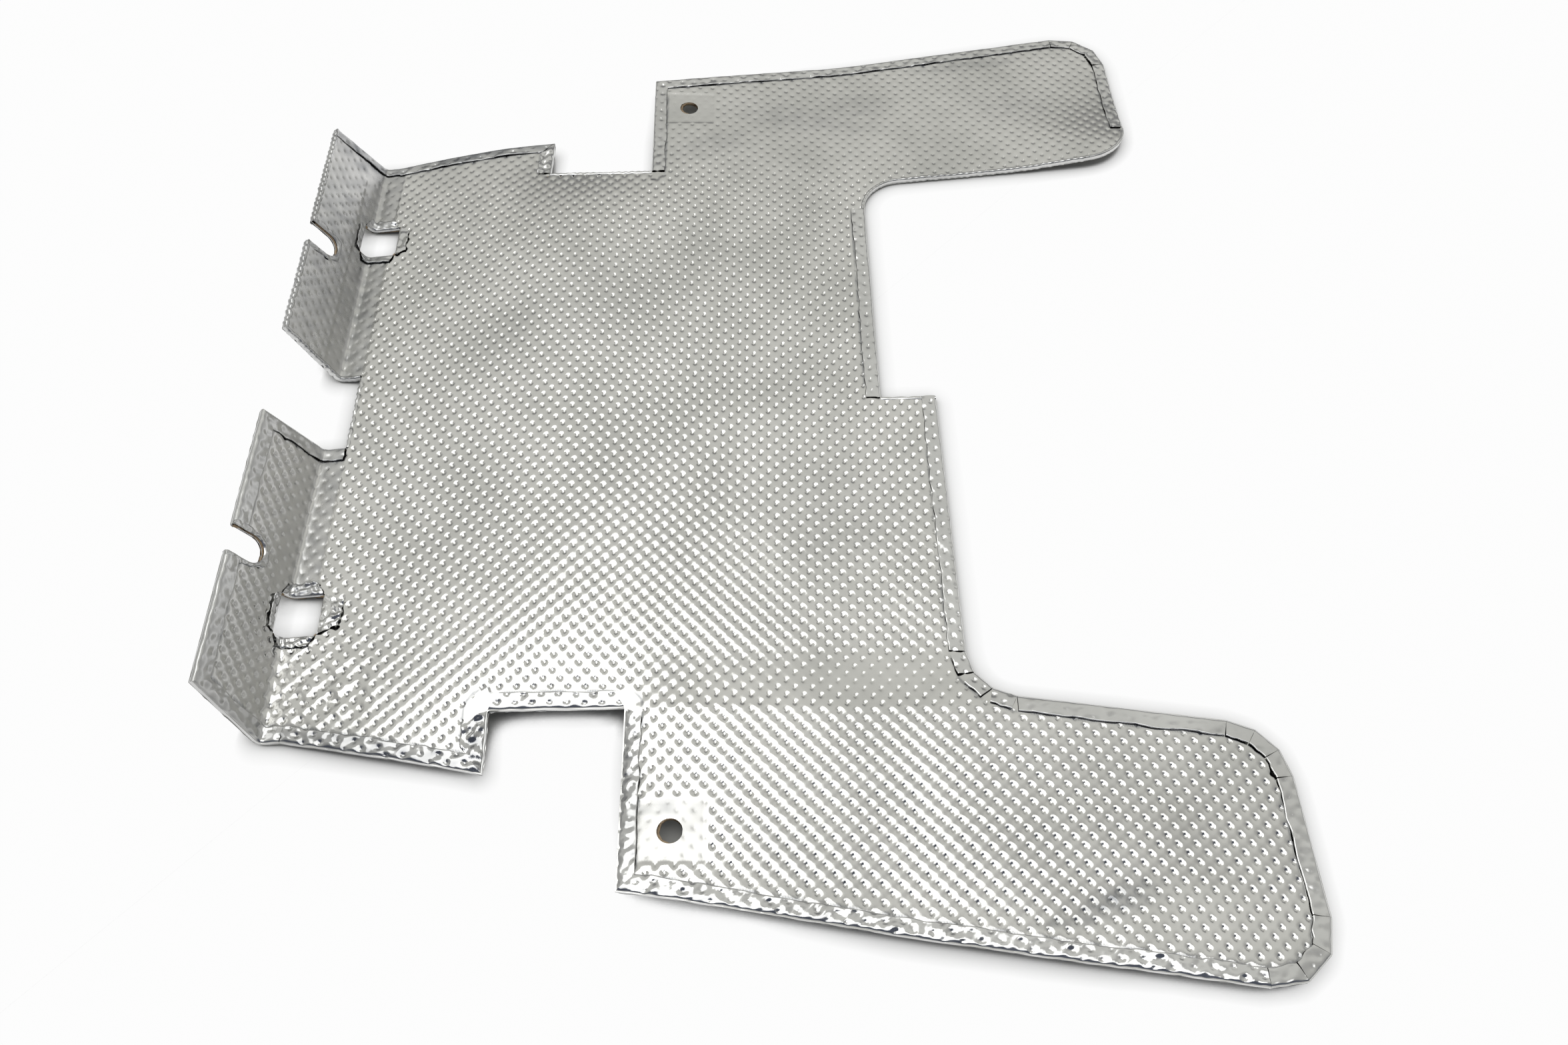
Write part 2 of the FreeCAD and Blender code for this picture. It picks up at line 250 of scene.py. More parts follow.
def dent(x, y):
    """How far the sheet stands off its plain section."""
    off = np.zeros_like(x, dtype=float)
    for cx, cy, rx, ry, height in DENTS:
        q = ((x - cx) / rx) ** 2 + ((y - cy) / ry) ** 2
        off += height * np.exp(-q)
    climb = np.clip((KINK_START_Y - y) / (KINK_START_Y - KINK_TOP_Y), 0.0, 1.0) ** KINK_POWER
    go_on = np.clip((KINK_TOP_Y - y) / (KINK_TOP_Y - KINK_END_Y), 0.0, 1.0)
    off += (KINK_H * climb + ARM_RISE * go_on) * smooth(*KINK_LEFT_X, x)
    # Distance from the near arm's outer edge
    (ax, ay), (bx, by) = OUTLINE[4][:2], OUTLINE[5][:2]
    length = math.hypot(bx - ax, by - ay)
    inner = ((ay - by) * (x - ax) + (bx - ax) * (y - ay)) / length
    strip = STRIP_W + (STRIP_TIP_W - STRIP_W) * smooth(*STRIP_WIDENS_X, x)
    over = np.clip(strip - inner, 0.0, STRIP_MOST)
    off += STRIP_SLOPE * over ** 2 / (over + STRIP_ROUND) * smooth(*STRIP_STARTS_X, x)
    return off * smooth(*DENTS_FADE_X, x)


def place(x, y, d):
    """Bent places in metres of flat places at a depth."""
    px = np.interp(x, SECTION[:, 0], SECTION[:, 1])
    pz = np.interp(x, SECTION[:, 0], SECTION[:, 2])
    heading = np.interp(x, SECTION[:, 0], SECTION[:, 3])
    off = d + dent(x, y)
    return np.stack([px - off * np.sin(heading), y, pz + off * np.cos(heading)], axis=-1) * MM


def outline_sides():
    """Straight sides of the outline in order, with rounded corners as short tabs.

    Each is (begin, end, mitres, hem, index in OUTLINE, whether it is a tab of a corner).
    """
    count = len(OUTLINE)
    points = [np.array(c[:2], float) for c in OUTLINE]
    ways = [points[(i + 1) % count] - points[i] for i in range(count)]
    ways = [w / np.linalg.norm(w) for w in ways]
    corners = []
    for i in range(count):
        a, b = ways[i - 1], ways[i]
        turn = math.atan2(a[0] * b[1] - a[1] * b[0], a @ b)
        radius, hem = OUTLINE[i][2:]
        if not radius:
            corners.append((points[i], hem, i, False))
            continue
        start = points[i] - a * radius * math.tan(0.5 * abs(turn))
        turned = math.copysign(1.0, turn)
        centre = start + turned * radius * np.array([-a[1], a[0]])
        first = math.atan2(start[1] - centre[1], start[0] - centre[0])
        tabs = TABS if hem and OUTLINE[i - 1][3] else BARE_FACETS
        for k in range(tabs + 1):
            angle = first + turn * k / tabs
            spot = centre + radius * np.array([math.cos(angle), math.sin(angle)])
            last = k == tabs
            corners.append((spot, hem if last else min(hem, OUTLINE[i - 1][3]), i, not last))
    count = len(corners)
    ways = [corners[(k + 1) % count][0] - corners[k][0] for k in range(count)]
    ways = [w / np.linalg.norm(w) for w in ways]
    mitres = []
    for k in range(count):
        a, b = ways[k - 1], ways[k]
        turn = math.atan2(a[0] * b[1] - a[1] * b[0], a @ b)
        both = corners[k - 1][1] and corners[k][1]
        beside_tab = corners[k - 1][3] or corners[k][3]
        mitre = math.tan(0.5 * turn) if both else 0.0
        if both and turn < SHARP_INNER_TURN:
            # At a sharp inner corner the ends of the hems draw in and leave the face bare
            mitre = INNER_DRAW_IN
        if beside_tab:
            # The tabs of an inner corner gape, and those of an outer corner nearly meet
            mitre = INNER_TAB_GAPE if turn < 0.0 else mitre + OUTER_TAB_GAP
        mitres.append(mitre)
    sides = []
    for k in range(count):
        j = (k + 1) % count
        begin, hem, side, tab = corners[k]
        sides.append((begin, corners[j][0], (mitres[k], mitres[j]), hem, side, tab))
    return sides


SIDES = outline_sides()
LOOP = np.array([side[0] for side in SIDES])
LOOP_HEM = np.array([side[3] for side in SIDES])


def circle(x, y, radius, count=40):
    """A circle as a closed loop."""
    t = 2.0 * np.pi * np.arange(count) / count
    return np.stack([x + radius * np.cos(t), y + radius * np.sin(t)], axis=-1)


def slot_loop(y, grow=0.0):
    """A slot, from its round floor to past the flange's free edge."""
    r = SLOT_R + grow
    mid = -(SLOT_FLOOR + SLOT_R)
    t = np.linspace(-0.5 * np.pi, 0.5 * np.pi, SLOT_POINTS)
    end = np.stack([mid + r * np.cos(t), y + r * np.sin(t)], axis=-1)
    back = -(FLANGE_W + SLOT_PAST_EDGE)
    return np.vstack([[[back, y - r]], end, [[back, y + r]]])


def window_loop(y, grow=0.0, ragged=0.0):
    """A window, with its edge torn by up to ragged."""
    low, high = -WINDOW_ON_FLANGE - grow, WINDOW_ON_PANEL + grow
    near, far = y - WINDOW_HALF_W - grow, y + WINDOW_HALF_W + grow
    corners = [(low, near), (high, near), (high, far), (low, far)]
    points = []
    for (ax, ay), (bx, by) in zip(corners, corners[1:] + corners[:1]):
        for t in np.arange(WINDOW_POINTS) / WINDOW_POINTS:
            points.append((ax + (bx - ax) * t, ay + (by - ay) * t))
    points = np.array(points)
    if ragged:
        points += rng.uniform(-ragged, ragged, points.shape)
    return points


def distance(points, loop):
    """Signed distance to a closed loop, positive inside, with the nearest place and its stretch."""
    a = loop
    b = np.roll(loop, -1, axis=0)
    best = np.full(len(points), np.inf)
    near = np.zeros_like(points)
    stretch = np.zeros(len(points), int)
    inside = np.zeros(len(points), bool)
    for k, (p, q) in enumerate(zip(a, b)):
        way = q - p
        t = np.clip(((points - p) @ way) / (way @ way), 0.0, 1.0)
        spot = p + t[:, None] * way
        gap = np.hypot(points[:, 0] - spot[:, 0], points[:, 1] - spot[:, 1])
        closer = gap < best
        best = np.where(closer, gap, best)
        near[closer] = spot[closer]
        stretch[closer] = k
        if p[1] != q[1]:
            crosses = (p[1] > points[:, 1]) != (q[1] > points[:, 1])
            at = p[0] + (points[:, 1] - p[1]) / (q[1] - p[1]) * way[0]
            inside ^= crosses & (points[:, 0] < at)
    return np.where(inside, best, -best), near, stretch


def lattice(x, y):
    """Lattice steps of flat places."""
    turn = math.radians(LATTICE_TURN)
    dx, dy = (x - LATTICE_X) / PITCH, (y - LATTICE_Y) / PITCH
    return dx * math.cos(turn) + dy * math.sin(turn), -dx * math.sin(turn) + dy * math.cos(turn)


def from_lattice(a, b):
    """Flat places of lattice steps."""
    turn = math.radians(LATTICE_TURN)
    x = LATTICE_X + PITCH * (a * math.cos(turn) - b * math.sin(turn))
    y = LATTICE_Y + PITCH * (a * math.sin(turn) + b * math.cos(turn))
    return x, y


# Each dimple's own depth, as a share; the shares repeat after so many steps
VARY_COUNT, VARY_RANGE = 96, (0.9, 1.1)
DIMPLE_VARY = rng.uniform(*VARY_RANGE, (VARY_COUNT, VARY_COUNT))


def emboss(x, y):
    """Height of the embossing at flat places, before it is pressed flat anywhere."""
    a, b = lattice(x, y)
    ia, ib = np.round(a).astype(int), np.round(b).astype(int)
    away = PITCH * np.hypot(a - ia, b - ib)
    dimple = DIMPLE_DEPTH * np.clip(1.0 - away / DIMPLE_R, 0.0, 1.0) ** DIMPLE_POWER
    middle = PITCH * np.hypot(a - np.floor(a) - 0.5, b - np.floor(b) - 0.5)
    wave = 0.5 * WAVE_H * (2.0 - np.cos(2.0 * np.pi * a) - np.cos(2.0 * np.pi * b)) - WAVE_H
    dimple = dimple * DIMPLE_VARY[ia % VARY_COUNT, ib % VARY_COUNT]
    return wave + KNOB_H * np.exp(-(middle / KNOB_R) ** 2) - dimple


def pad_place(dx, dy):
    """Place on the flat pad round a hole, 1 at its border."""
    return np.maximum(np.abs(dx) / PAD_HALF_X, np.abs(dy) / PAD_HALF_Y)


def fold_band(x, y):
    """1 in the coined band along the fold, and 0 from its border on."""
    return (1.0 - smooth(*BAND_EDGE, np.abs(x))) * smooth(*BAND_ENDS_Y, y)


def pressed(x, y):
    """Share of the embossing that is left: it is coined flat along the fold and round the holes."""
    flange = FLANGE_EMBOSS - FLANGE_EMBOSS_LOSS * smooth(*FLANGE_CHANGES_Y, y)
    left = np.where(x < 0, flange, 1.0) * (1.0 - BAND_PRESS * fold_band(x, y))
    for hx, hy in HOLES:
        off_pad = smooth(*PAD_EMBOSS_EDGE, pad_place(x - hx, y - hy))
        left = left * (PAD_EMBOSS + (1.0 - PAD_EMBOSS) * off_pad)
    cx, cy, rx, ry, loss = WEAK_PATCH
    weak = ((x - cx) / rx) ** 2 + ((y - cy) / ry) ** 2
    worn = sum(most * smooth(*span, y) for most, span in WORN)
    return left * (1.0 - loss * np.exp(-weak)) * (1.0 - worn)


def satin(x, y):
    """Share of a satin finish: on the flange, along the fold and on the pads."""
    flange = FLANGE_SATIN + FLANGE_SATIN_GAIN * smooth(*FLANGE_CHANGES_Y, y)
    share = np.where(x < 0, flange, BAND_SATIN * fold_band(x, y))
    for hx, hy in HOLES:
        off_pad = smooth(*PAD_SATIN_EDGE, pad_place(x - hx, y - hy))
        share = np.maximum(share, PAD_SATIN * (1.0 - off_pad))
    return share


def dirt_and_shade(x, y):
    """Share of darkening, from dirt and painted shade: in the band along the fold and in soft patches.
    """
    share = np.where(x > 0.0, BAND_DARKER * fold_band(x, y), 0.0)
    a, b = lattice(x, y)
    away = PITCH * np.hypot(a - np.round(a), b - np.round(b))
    rings = RING_GROUND + (1.0 - RING_GROUND) * np.exp(-((away - RING_R) / RING_W) ** 2)
    for cx, cy, rx, ry, turn, most in STAINS_AND_SHADE + [RING_STAIN]:
        c, s = math.cos(math.radians(turn)), math.sin(math.radians(turn))
        along, across = (x - cx) * c + (y - cy) * s, (y - cy) * c - (x - cx) * s
        patch = np.exp(-((along / rx) ** 2 + (across / ry) ** 2) ** STAIN_POWER)
        if (cx, cy) == RING_STAIN[:2]:
            patch = patch * rings
        share = np.maximum(share, most * patch)
    return np.clip(share * (1.0 + DARKEN_VARY * waves(x, y, DARKEN_WAVE, DARKEN_SEED)), 0.0, 1.0)


def layer_cuts(hole_shift=(0.0, 0.0), hole_grow=0.0, window_grow=0.0, window_ragged=0.0, slot_grow=0.0):
    """Loops of the holes, windows and slots in one layer."""
    loops = [circle(x + hole_shift[0], y + hole_shift[1], HOLE_R + hole_grow) for x, y in HOLES]
    loops += [window_loop(y, window_grow, window_ragged) for y in WINDOWS]
    return loops + [slot_loop(y, slot_grow) for y in SLOTS]


FACE_CUTS = layer_cuts(window_grow=0.4, window_ragged=0.8)
BACK_CUTS = layer_cuts()
CORE_CUTS = layer_cuts((1.0, 0.2), hole_grow=0.1, window_grow=0.2, window_ragged=0.5, slot_grow=0.3)


def compact(count, *meshes):
    """Which of so many vertices the faces use, and the faces renumbered for those alone."""
    used = np.zeros(count, bool)
    for faces in meshes:
        used[faces.ravel()] = True
    new = np.cumsum(used) - 1
    return (used, *(new[faces] for faces in meshes))


# The mesh grid: lattice steps searched, margin in mm, and how far from an edge vertices are kept and
# moved on to it, in cells
GRID_SPAN, GRID_MARGIN = 160, 8.0
KEEP_OUTSIDE, SNAP_INSIDE = 0.55, 0.4


def flat_grid(steps, cuts, inset):
    """Flat mesh on the lattice inside the outline and outside the cuts: places, quads and triangles."""
    whole = np.arange(-GRID_SPAN, GRID_SPAN, dtype=float)
    a, b = np.meshgrid(whole, whole, indexing="ij")
    x, y = from_lattice(a, b)
    ok = (x > -FLANGE_W - GRID_MARGIN) & (x < TIP_X + GRID_MARGIN) & (np.abs(y) < ARM_Y + GRID_MARGIN)
    low_a, high_a = int(a[ok].min()) - 1, int(a[ok].max()) + 1
    low_b, high_b = int(b[ok].min()) - 1, int(b[ok].max()) + 1
    ga = np.arange(low_a * steps, high_a * steps + 1) / steps
    gb = np.arange(low_b * steps, high_b * steps + 1) / steps
    x, y = from_lattice(*np.meshgrid(ga, gb, indexing="ij"))
    cell = PITCH / steps
    # Distance to the nearest edge, positive in the sheet, and the place on that edge
    gap = np.full(x.shape, -np.inf)
    spot = np.zeros(x.shape + (2,))
    box = (x > -FLANGE_W - 2 * cell) & (x < TIP_X + 2 * cell) & (np.abs(y) < ARM_Y + 2 * cell)
    points = np.stack([x[box], y[box]], axis=-1)
    best, near, _ = distance(points, LOOP)
    best = best - inset
    at_cut = np.zeros(len(points), bool)
    for cut in cuts:
        low, high = cut.min(0) - 3 * cell, cut.max(0) + 3 * cell
        close = np.all((points > low) & (points < high), axis=1)
        away, place_on, _ = distance(points[close], cut)
        take = -away < best[close]
        index = np.flatnonzero(close)[take]
        best[index] = -away[take]
        near[index] = place_on[take]
        at_cut[index] = True
    gap[box] = best
    spot[box] = near
    good = gap > -KEEP_OUTSIDE * cell
    snap = good & (gap < SNAP_INSIDE * cell)
    if inset:
        # An inset edge stays on the grid, as the nearest place is on the outline itself
        beside_cut = np.zeros(x.shape, bool)
        beside_cut[box] = at_cut
        snap &= beside_cut
    x = np.where(snap, spot[..., 0], x)
    y = np.where(snap, spot[..., 1], y)
    count = good.astype(int)
    total = count[:-1, :-1] + count[1:, :-1] + count[1:, 1:] + count[:-1, 1:]
    index = np.arange(x.size).reshape(x.shape)
    corners = np.stack([index[:-1, :-1], index[1:, :-1], index[1:, 1:], index[:-1, 1:]], axis=-1)
    all_snapped = snap[:-1, :-1] & snap[1:, :-1] & snap[1:, 1:] & snap[:-1, 1:]
    quads = corners[(total == 4) & ~all_snapped]
    three = corners[total == 3]
    order = np.argmin(good.ravel()[three], axis=1)
    tris = np.stack([three[np.arange(len(three)), (order + k) % 4] for k in (1, 2, 3)], axis=-1)
    used, quads, tris = compact(x.size, quads, tris)
    return np.stack([x.ravel()[used], y.ravel()[used]], axis=-1), quads, tris


def vertex_normals(points, quads, tris):
    """Unit normals of the vertices, weighted by the areas of the faces."""
    normals = np.zeros_like(points)
    p = points[quads]
    of_quads = np.cross(p[:, 2] - p[:, 0], p[:, 3] - p[:, 1])
    p = points[tris]
    of_tris = np.cross(p[:, 1] - p[:, 0], p[:, 2] - p[:, 0])
    for faces, n in ((quads, of_quads), (tris, of_tris)):
        for k in range(faces.shape[1]):
            np.add.at(normals, faces[:, k], n)
    size = np.linalg.norm(normals, axis=1, keepdims=True)
    return normals / np.maximum(size, 1e-12)


def make_object(name, points, quads, tris, material, normals=None, flat=None, seam_shade=0.0):
    """A smooth mesh object from arrays, with the satin, dirt and painted shade of its flat places where
    they are given.
    """
    mesh = bpy.data.meshes.new(name)
    loops = np.concatenate([quads.ravel(), tris.ravel()]).astype(np.int32)
    starts = np.concatenate([np.arange(len(quads)) * 4, len(quads) * 4 + np.arange(len(tris)) * 3])
    mesh.vertices.add(len(points))
    mesh.vertices.foreach_set("co", points.astype(np.float32).ravel())
    mesh.loops.add(len(loops))
    mesh.loops.foreach_set("vertex_index", loops)
    mesh.polygons.add(len(quads) + len(tris))
    mesh.polygons.foreach_set("loop_start", starts.astype(np.int32))
    mesh.update(calc_edges=True)
    mesh.validate()
    mesh.polygons.foreach_set("use_smooth", np.ones(len(mesh.polygons), bool))
    if flat is not None:
        x, y = flat[:, 0], flat[:, 1]
        # Satin, and one share of dirt and painted shade that darkens the colour
        for layer_name, share in (("satin", satin(x, y)), ("dirt_and_shade", np.maximum(dirt_and_shade(x, y), seam_shade))):
            layer = mesh.attributes.new(layer_name, "FLOAT", "POINT")
            layer.data.foreach_set("value", share.astype(np.float32))
    if normals is not None:
        mesh.normals_split_custom_set_from_vertices(normals.tolist())
    mesh.materials.append(material)
    made = bpy.data.objects.new(name, mesh)
    bpy.context.scene.collection.objects.link(made)
    return made


def dress(piece, node):
    """Put a piece on the body, in the place of a CAD node."""
    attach(piece, "root")
    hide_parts(node)


# Materials
# Dark colour of dirt and of painted shade, mixed into the foil by the mesh's share
DIRT_AND_SHADE_COLOUR = (0.16, 0.17, 0.19, 1)
# Roughness that a full satin finish adds
SATIN_ROUGH = 0.30


def node(tree, kind, x, y, **values):
    """A new node, with values for its inputs or its own settings."""
    made = tree.nodes.new(kind)
    made.location = (x, y)
    for key, value in values.items():
        if key in made.inputs:
            made.inputs[key].default_value = value
        else:
            setattr(made, key, value)
    return made


def map_range(tree, x, y, low, high, to_low=0.0, to_high=1.0):
    """A node that maps one range of values on to another."""
    made = node(tree, "ShaderNodeMapRange", x, y)
    for key, value in (("From Min", low), ("From Max", high), ("To Min", to_low), ("To Max", to_high)):
        made.inputs[key].default_value = value
    return made


def set_stops(ramp, stops):
    """Give a colour ramp these places and colours."""
    elements = ramp.color_ramp.elements
    while len(elements) > 1:
        elements.remove(elements[-1])
    elements[0].position = stops[0][0]
    elements[0].color = (*stops[0][1], 1)
    for position, colour in stops[1:]:
        elements.new(position).color = (*colour, 1)


def empty_tree(owner):
    """The node tree of a material or a world, with nothing in it."""
    owner.use_nodes = True
    owner.node_tree.nodes.clear()
    return owner.node_tree


def foil(name, dark, light, rough_low, rough_high):
    """Aluminium foil: smudged, unevenly glossy and grained, with the mesh's satin finish and its dirt
    and painted shade.
    """
    material = bpy.data.materials.new(name)
    tree = empty_tree(material)
    link = tree.links.new
    out = node(tree, "ShaderNodeOutputMaterial", 900, 0)
    shader = node(tree, "ShaderNodeBsdfPrincipled", 600, 0, Metallic=1.0)
    link(shader.outputs[0], out.inputs[0])
    coords = node(tree, "ShaderNodeTexCoord", -900, 0)
    smudge = node(tree, "ShaderNodeTexNoise", -600, 200, Scale=22.0, Detail=5.0, Roughness=0.6)
    link(coords.outputs["Object"], smudge.inputs["Vector"])
    ramp = node(tree, "ShaderNodeValToRGB", -300, 250)
    set_stops(ramp, [(0.3, dark), (0.62, light)])
    link(smudge.outputs["Fac"], ramp.inputs[0])
    # Dirt and painted shade: the mesh's share mixes a dark colour into the foil
    darkening = node(tree, "ShaderNodeAttribute", -300, 500, attribute_name="dirt_and_shade")
    darkened = node(tree, "ShaderNodeMix", 200, 300, data_type="RGBA")
    link(darkening.outputs["Fac"], darkened.inputs["Factor"])
    link(ramp.outputs[0], darkened.inputs["A"])
    darkened.inputs["B"].default_value = DIRT_AND_SHADE_COLOUR
    link(darkened.outputs["Result"], shader.inputs["Base Color"])
    gloss = node(tree, "ShaderNodeTexNoise", -600, -80, Scale=70.0, Detail=4.0, Roughness=0.65)
    link(coords.outputs["Object"], gloss.inputs["Vector"])
    spread = map_range(tree, -300, -80, 0.3, 0.7, rough_low, rough_high)
    link(gloss.outputs["Fac"], spread.inputs["Value"])
    dull = node(tree, "ShaderNodeAttribute", -300, -250, attribute_name="satin")
    duller = node(tree, "ShaderNodeMath", 0, -120, operation="MULTIPLY_ADD")
    link(dull.outputs["Fac"], duller.inputs[0])
    duller.inputs[1].default_value = SATIN_ROUGH
    link(spread.outputs[0], duller.inputs[2])
    link(duller.outputs[0], shader.inputs["Roughness"])
    grain = node(tree, "ShaderNodeTexNoise", -600, -360, Scale=900.0, Detail=3.0, Roughness=0.6)
    link(coords.outputs["Object"], grain.inputs["Vector"])
    bump = node(tree, "ShaderNodeBump", 0, -360, Strength=0.06, Distance=0.0002)
    link(grain.outputs["Fac"], bump.inputs["Height"])
    link(bump.outputs[0], shader.inputs["Normal"])
    return material


def fibre(name):
    """Tan fibre mat, with strands in colour and bump."""
    material = bpy.data.materials.new(name)
    tree = empty_tree(material)
    link = tree.links.new
    out = node(tree, "ShaderNodeOutputMaterial", 900, 0)
    shader = node(tree, "ShaderNodeBsdfPrincipled", 600, 0, Roughness=0.95)
    link(shader.outputs[0], out.inputs[0])
    coords = node(tree, "ShaderNodeTexCoord", -900, 0)
    strands = node(tree, "ShaderNodeTexNoise", -600, 100, Scale=1500.0, Detail=6.0, Roughness=0.75)
    link(coords.outputs["Object"], strands.inputs["Vector"])
    ramp = node(tree, "ShaderNodeValToRGB", -300, 100)
    set_stops(ramp, [(0.3, (0.28, 0.18, 0.10)), (0.7, (0.70, 0.55, 0.37))])
    link(strands.outputs["Fac"], ramp.inputs[0])
    link(ramp.outputs[0], shader.inputs["Base Color"])
    bump = node(tree, "ShaderNodeBump", 0, -260, Strength=0.7, Distance=0.0006)
    link(strands.outputs["Fac"], bump.inputs["Height"])
    link(bump.outputs[0], shader.inputs["Normal"])
    return material


FACE_FOIL = foil("face_foil", (0.60, 0.60, 0.58), (0.74, 0.735, 0.715), 0.09, 0.17)
BACK_FOIL = foil("back_foil", (0.58, 0.58, 0.57), (0.72, 0.72, 0.71), 0.10, 0.20)
FIBRE = fibre("fibre_mat")


# The sheets, cut into bands along y to keep the pieces small
FACE_BANDS = [("near", -999, -150), ("near_mid", -150, 0), ("far_mid", 0, 150), ("far", 150, 999)]
BACK_BANDS = [("near", -999, 0), ("far", 0, 999)]


def add_sheet(node_name, material, bands, flat, quads, tris, points, seam_shade=None):
    """The pieces of a sheet; one with seam shade also shows the satin, dirt and painted shade of its
    flat places.
    """
    normals = vertex_normals(points, quads, tris)
    quad_y, tri_y = flat[quads, 1].mean(1), flat[tris, 1].mean(1)
    for band, low, high in bands:
        in_quads = quads[(quad_y >= low) & (quad_y < high)]
        in_tris = tris[(tri_y >= low) & (tri_y < high)]
        used, q, t = compact(len(points), in_quads, in_tris)
        finish = {} if seam_shade is None else {"flat": flat[used], "seam_shade": seam_shade[used]}
        name = node_name + "_" + band
        piece = make_object(name, points[used], q, t, material, normals[used], **finish)
        dress(piece, node_name)


# Face sheet
flat, quads, tris = flat_grid(FACE_STEPS, FACE_CUTS, 0.0)
x, y = flat.T
edge_gap, _, stretch = distance(flat, LOOP)
hem_there = LOOP_HEM[stretch]
past_hem = edge_gap - hem_there
under_hem = np.where(hem_there > 0.0, 1.0 - smooth(*HEM_SEAT_EDGE, past_hem), 0.0)
height = emboss(x, y) * pressed(x, y) * (1.0 - HEM_PRESS * under_hem)
height -= HEM_SEAT * under_hem
band_there = smooth(*BAND_ENDS_Y, y)
height -= BAND_STEP * band_there * (1.0 - smooth(*BAND_STEP_EDGE, np.abs(x)))
height += BAND_CROWN * band_there * np.sin(np.pi * np.clip(x / BAND_CROWN_W, 0.0, 1.0)) ** 2
cx, cy, rx, ry, crumple_h, crumple_wave = CRUMPLE
crumple = ((x - cx) / rx) ** 2 + ((y - cy) / ry) ** 2
crumple = crumple_h * np.exp(-crumple ** 2) * waves(x, y, crumple_wave, CRUMPLE_SEED)
height += crumple * (1.0 - under_hem)
for hole_x, hole_y in HOLES:
    height -= PAD_STEP * (1.0 - smooth(*PAD_STEP_EDGE, pad_place(x - hole_x, y - hole_y)))
# Painted shade: a dark line in the seam along each hem's free edge
seam_gap = (past_hem - SEAM_AT) / SEAM_W
seam_shade = np.where(hem_there > 0.0, np.exp(-seam_gap ** 2), 0.0)
uneven = SEAM_MEAN + SEAM_VARY * waves(x, y, SEAM_WAVE, SEAM_SEED)
seam_shade = SEAM_DARK * seam_shade * np.clip(uneven, 0.0, 1.0)
points = place(x, y, height)
add_sheet("face_sheet", FACE_FOIL, FACE_BANDS, flat, quads, tris, points, seam_shade)

# Back sheet: the embossing shows as low bumps towards the floor
flat, quads, tris = flat_grid(BACK_STEPS, BACK_CUTS, 0.0)
x, y = flat.T
height = emboss(x, y) * pressed(x, y)
bumps = np.maximum(BACK_SHARE * np.minimum(height, 0.0), -BACK_BUMP)
points = place(x, y, -STACK_T + BACK_BUMP + bumps)
quads, tris = quads[:, ::-1], tris[:, ::-1]
add_sheet("back_sheet", BACK_FOIL, BACK_BANDS, flat, quads, tris, points)


# Core mat: a slab between the sheets, seen in the cuts. Its top is up under the face at its rim alone.
CORE_INSET = 2.0
CORE_RIM_D, CORE_TOP_D = -FOIL_T - 0.1, -1.35
CORE_BOTTOM_D = -STACK_T + BACK_BUMP + 0.15


def boundary(quads, tris):
    """Edges of a mesh that one face alone uses, in that face's direction."""
    pairs = [quads[:, [k, (k + 1) % 4]] for k in range(4)]
    pairs += [tris[:, [k, (k + 1) % 3]] for k in range(3)]
    edges = np.vstack(pairs)
    key = np.sort(edges, axis=1)
    _, index, count = np.unique(key, axis=0, return_index=True, return_counts=True)
    return edges[index[count == 1]]


flat, quads, tris = flat_grid(CORE_STEPS, CORE_CUTS, CORE_INSET)
x, y = flat.T
edges = boundary(quads, tris)
rim = np.zeros(len(flat), bool)
rim[edges.ravel()] = True
top = place(x, y, np.where(rim, CORE_RIM_D, CORE_TOP_D))
bottom = place(x, y, np.full(len(flat), CORE_BOTTOM_D))
count = len(flat)
walls = np.stack([edges[:, 1], edges[:, 0], edges[:, 0] + count, edges[:, 1] + count], axis=-1)
core_quads = np.vstack([quads, quads[:, ::-1] + count, walls])
core_tris = np.vstack([tris, tris[:, ::-1] + count])
core = make_object("core_slab", np.vstack([top, bottom]), core_quads, core_tris, FIBRE)
dress(core, "core_mat")

# Hem: the margin of the back sheet, turned up round the mat and folded down on the face. Profiles are
# rows of inward distance and depth.
WALL_PROFILE = [
    (1.8, -2.6), (0.9, -2.6), (0.3, -2.45), (0.04, -2.0), (0.0, -1.3), (0.04, -0.5), (0.25, 0.1),
]
BARE_PROFILE = [(0.7, 0.32), (1.2, 0.25), (1.7, 0.02), (1.9, -0.25)]
TURN_PROFILE = [(0.75, 0.38), (1.25, 0.46)]
# The flat of the hem: where it starts, its rows, its depth there and how far that falls to the free edge
HEM_FLAT_E, HEM_FLAT_ROWS, HEM_FLAT_D, HEM_FLAT_FALL = 1.75, 12, 0.48, 0.06
FREE_EDGE_PROFILE = [(0.06, 0.3), (0.02, 0.02)]
# Where creases begin on a strip, the depths over which they and the rolled edge count, and their waves
ON_TOP_E = (0.2, 1.2)
ON_TOP_D, ROLL_D = -0.1, -0.6
CREASE_WAVE = 5.5
ROLL_REACH = 3.2
# The hem's loose half: where it starts, how far it lifts by itself and per crease, and its waves
LOOSE_FROM = 0.45
LOOSE_H, LOOSE_PER_CREASE = 0.05, 0.8
LOOSE_WAVE = 16.0
# Steps along a hem, the length over which it comes to rest at its ends, and how its edges wander
HEM_STEP = 0.8
HEM_END_FADE = 4.0
WIDTH_KNOT, WIDTH_WANDER = 9, 0.07
EDGE_KNOT, EDGE_WANDER, EDGE_PER_CREASE, EDGE_REACH = 7, 0.15, 0.6, 2.0
# Dimples that a bare edge cuts through: depth of the scallops and the line that they are read on
SCALLOP, SCALLOP_E = 0.7, 1.3
TAB_TILT, TAB_TILT_E = (0.05, 0.45), (1.0, 7.0)


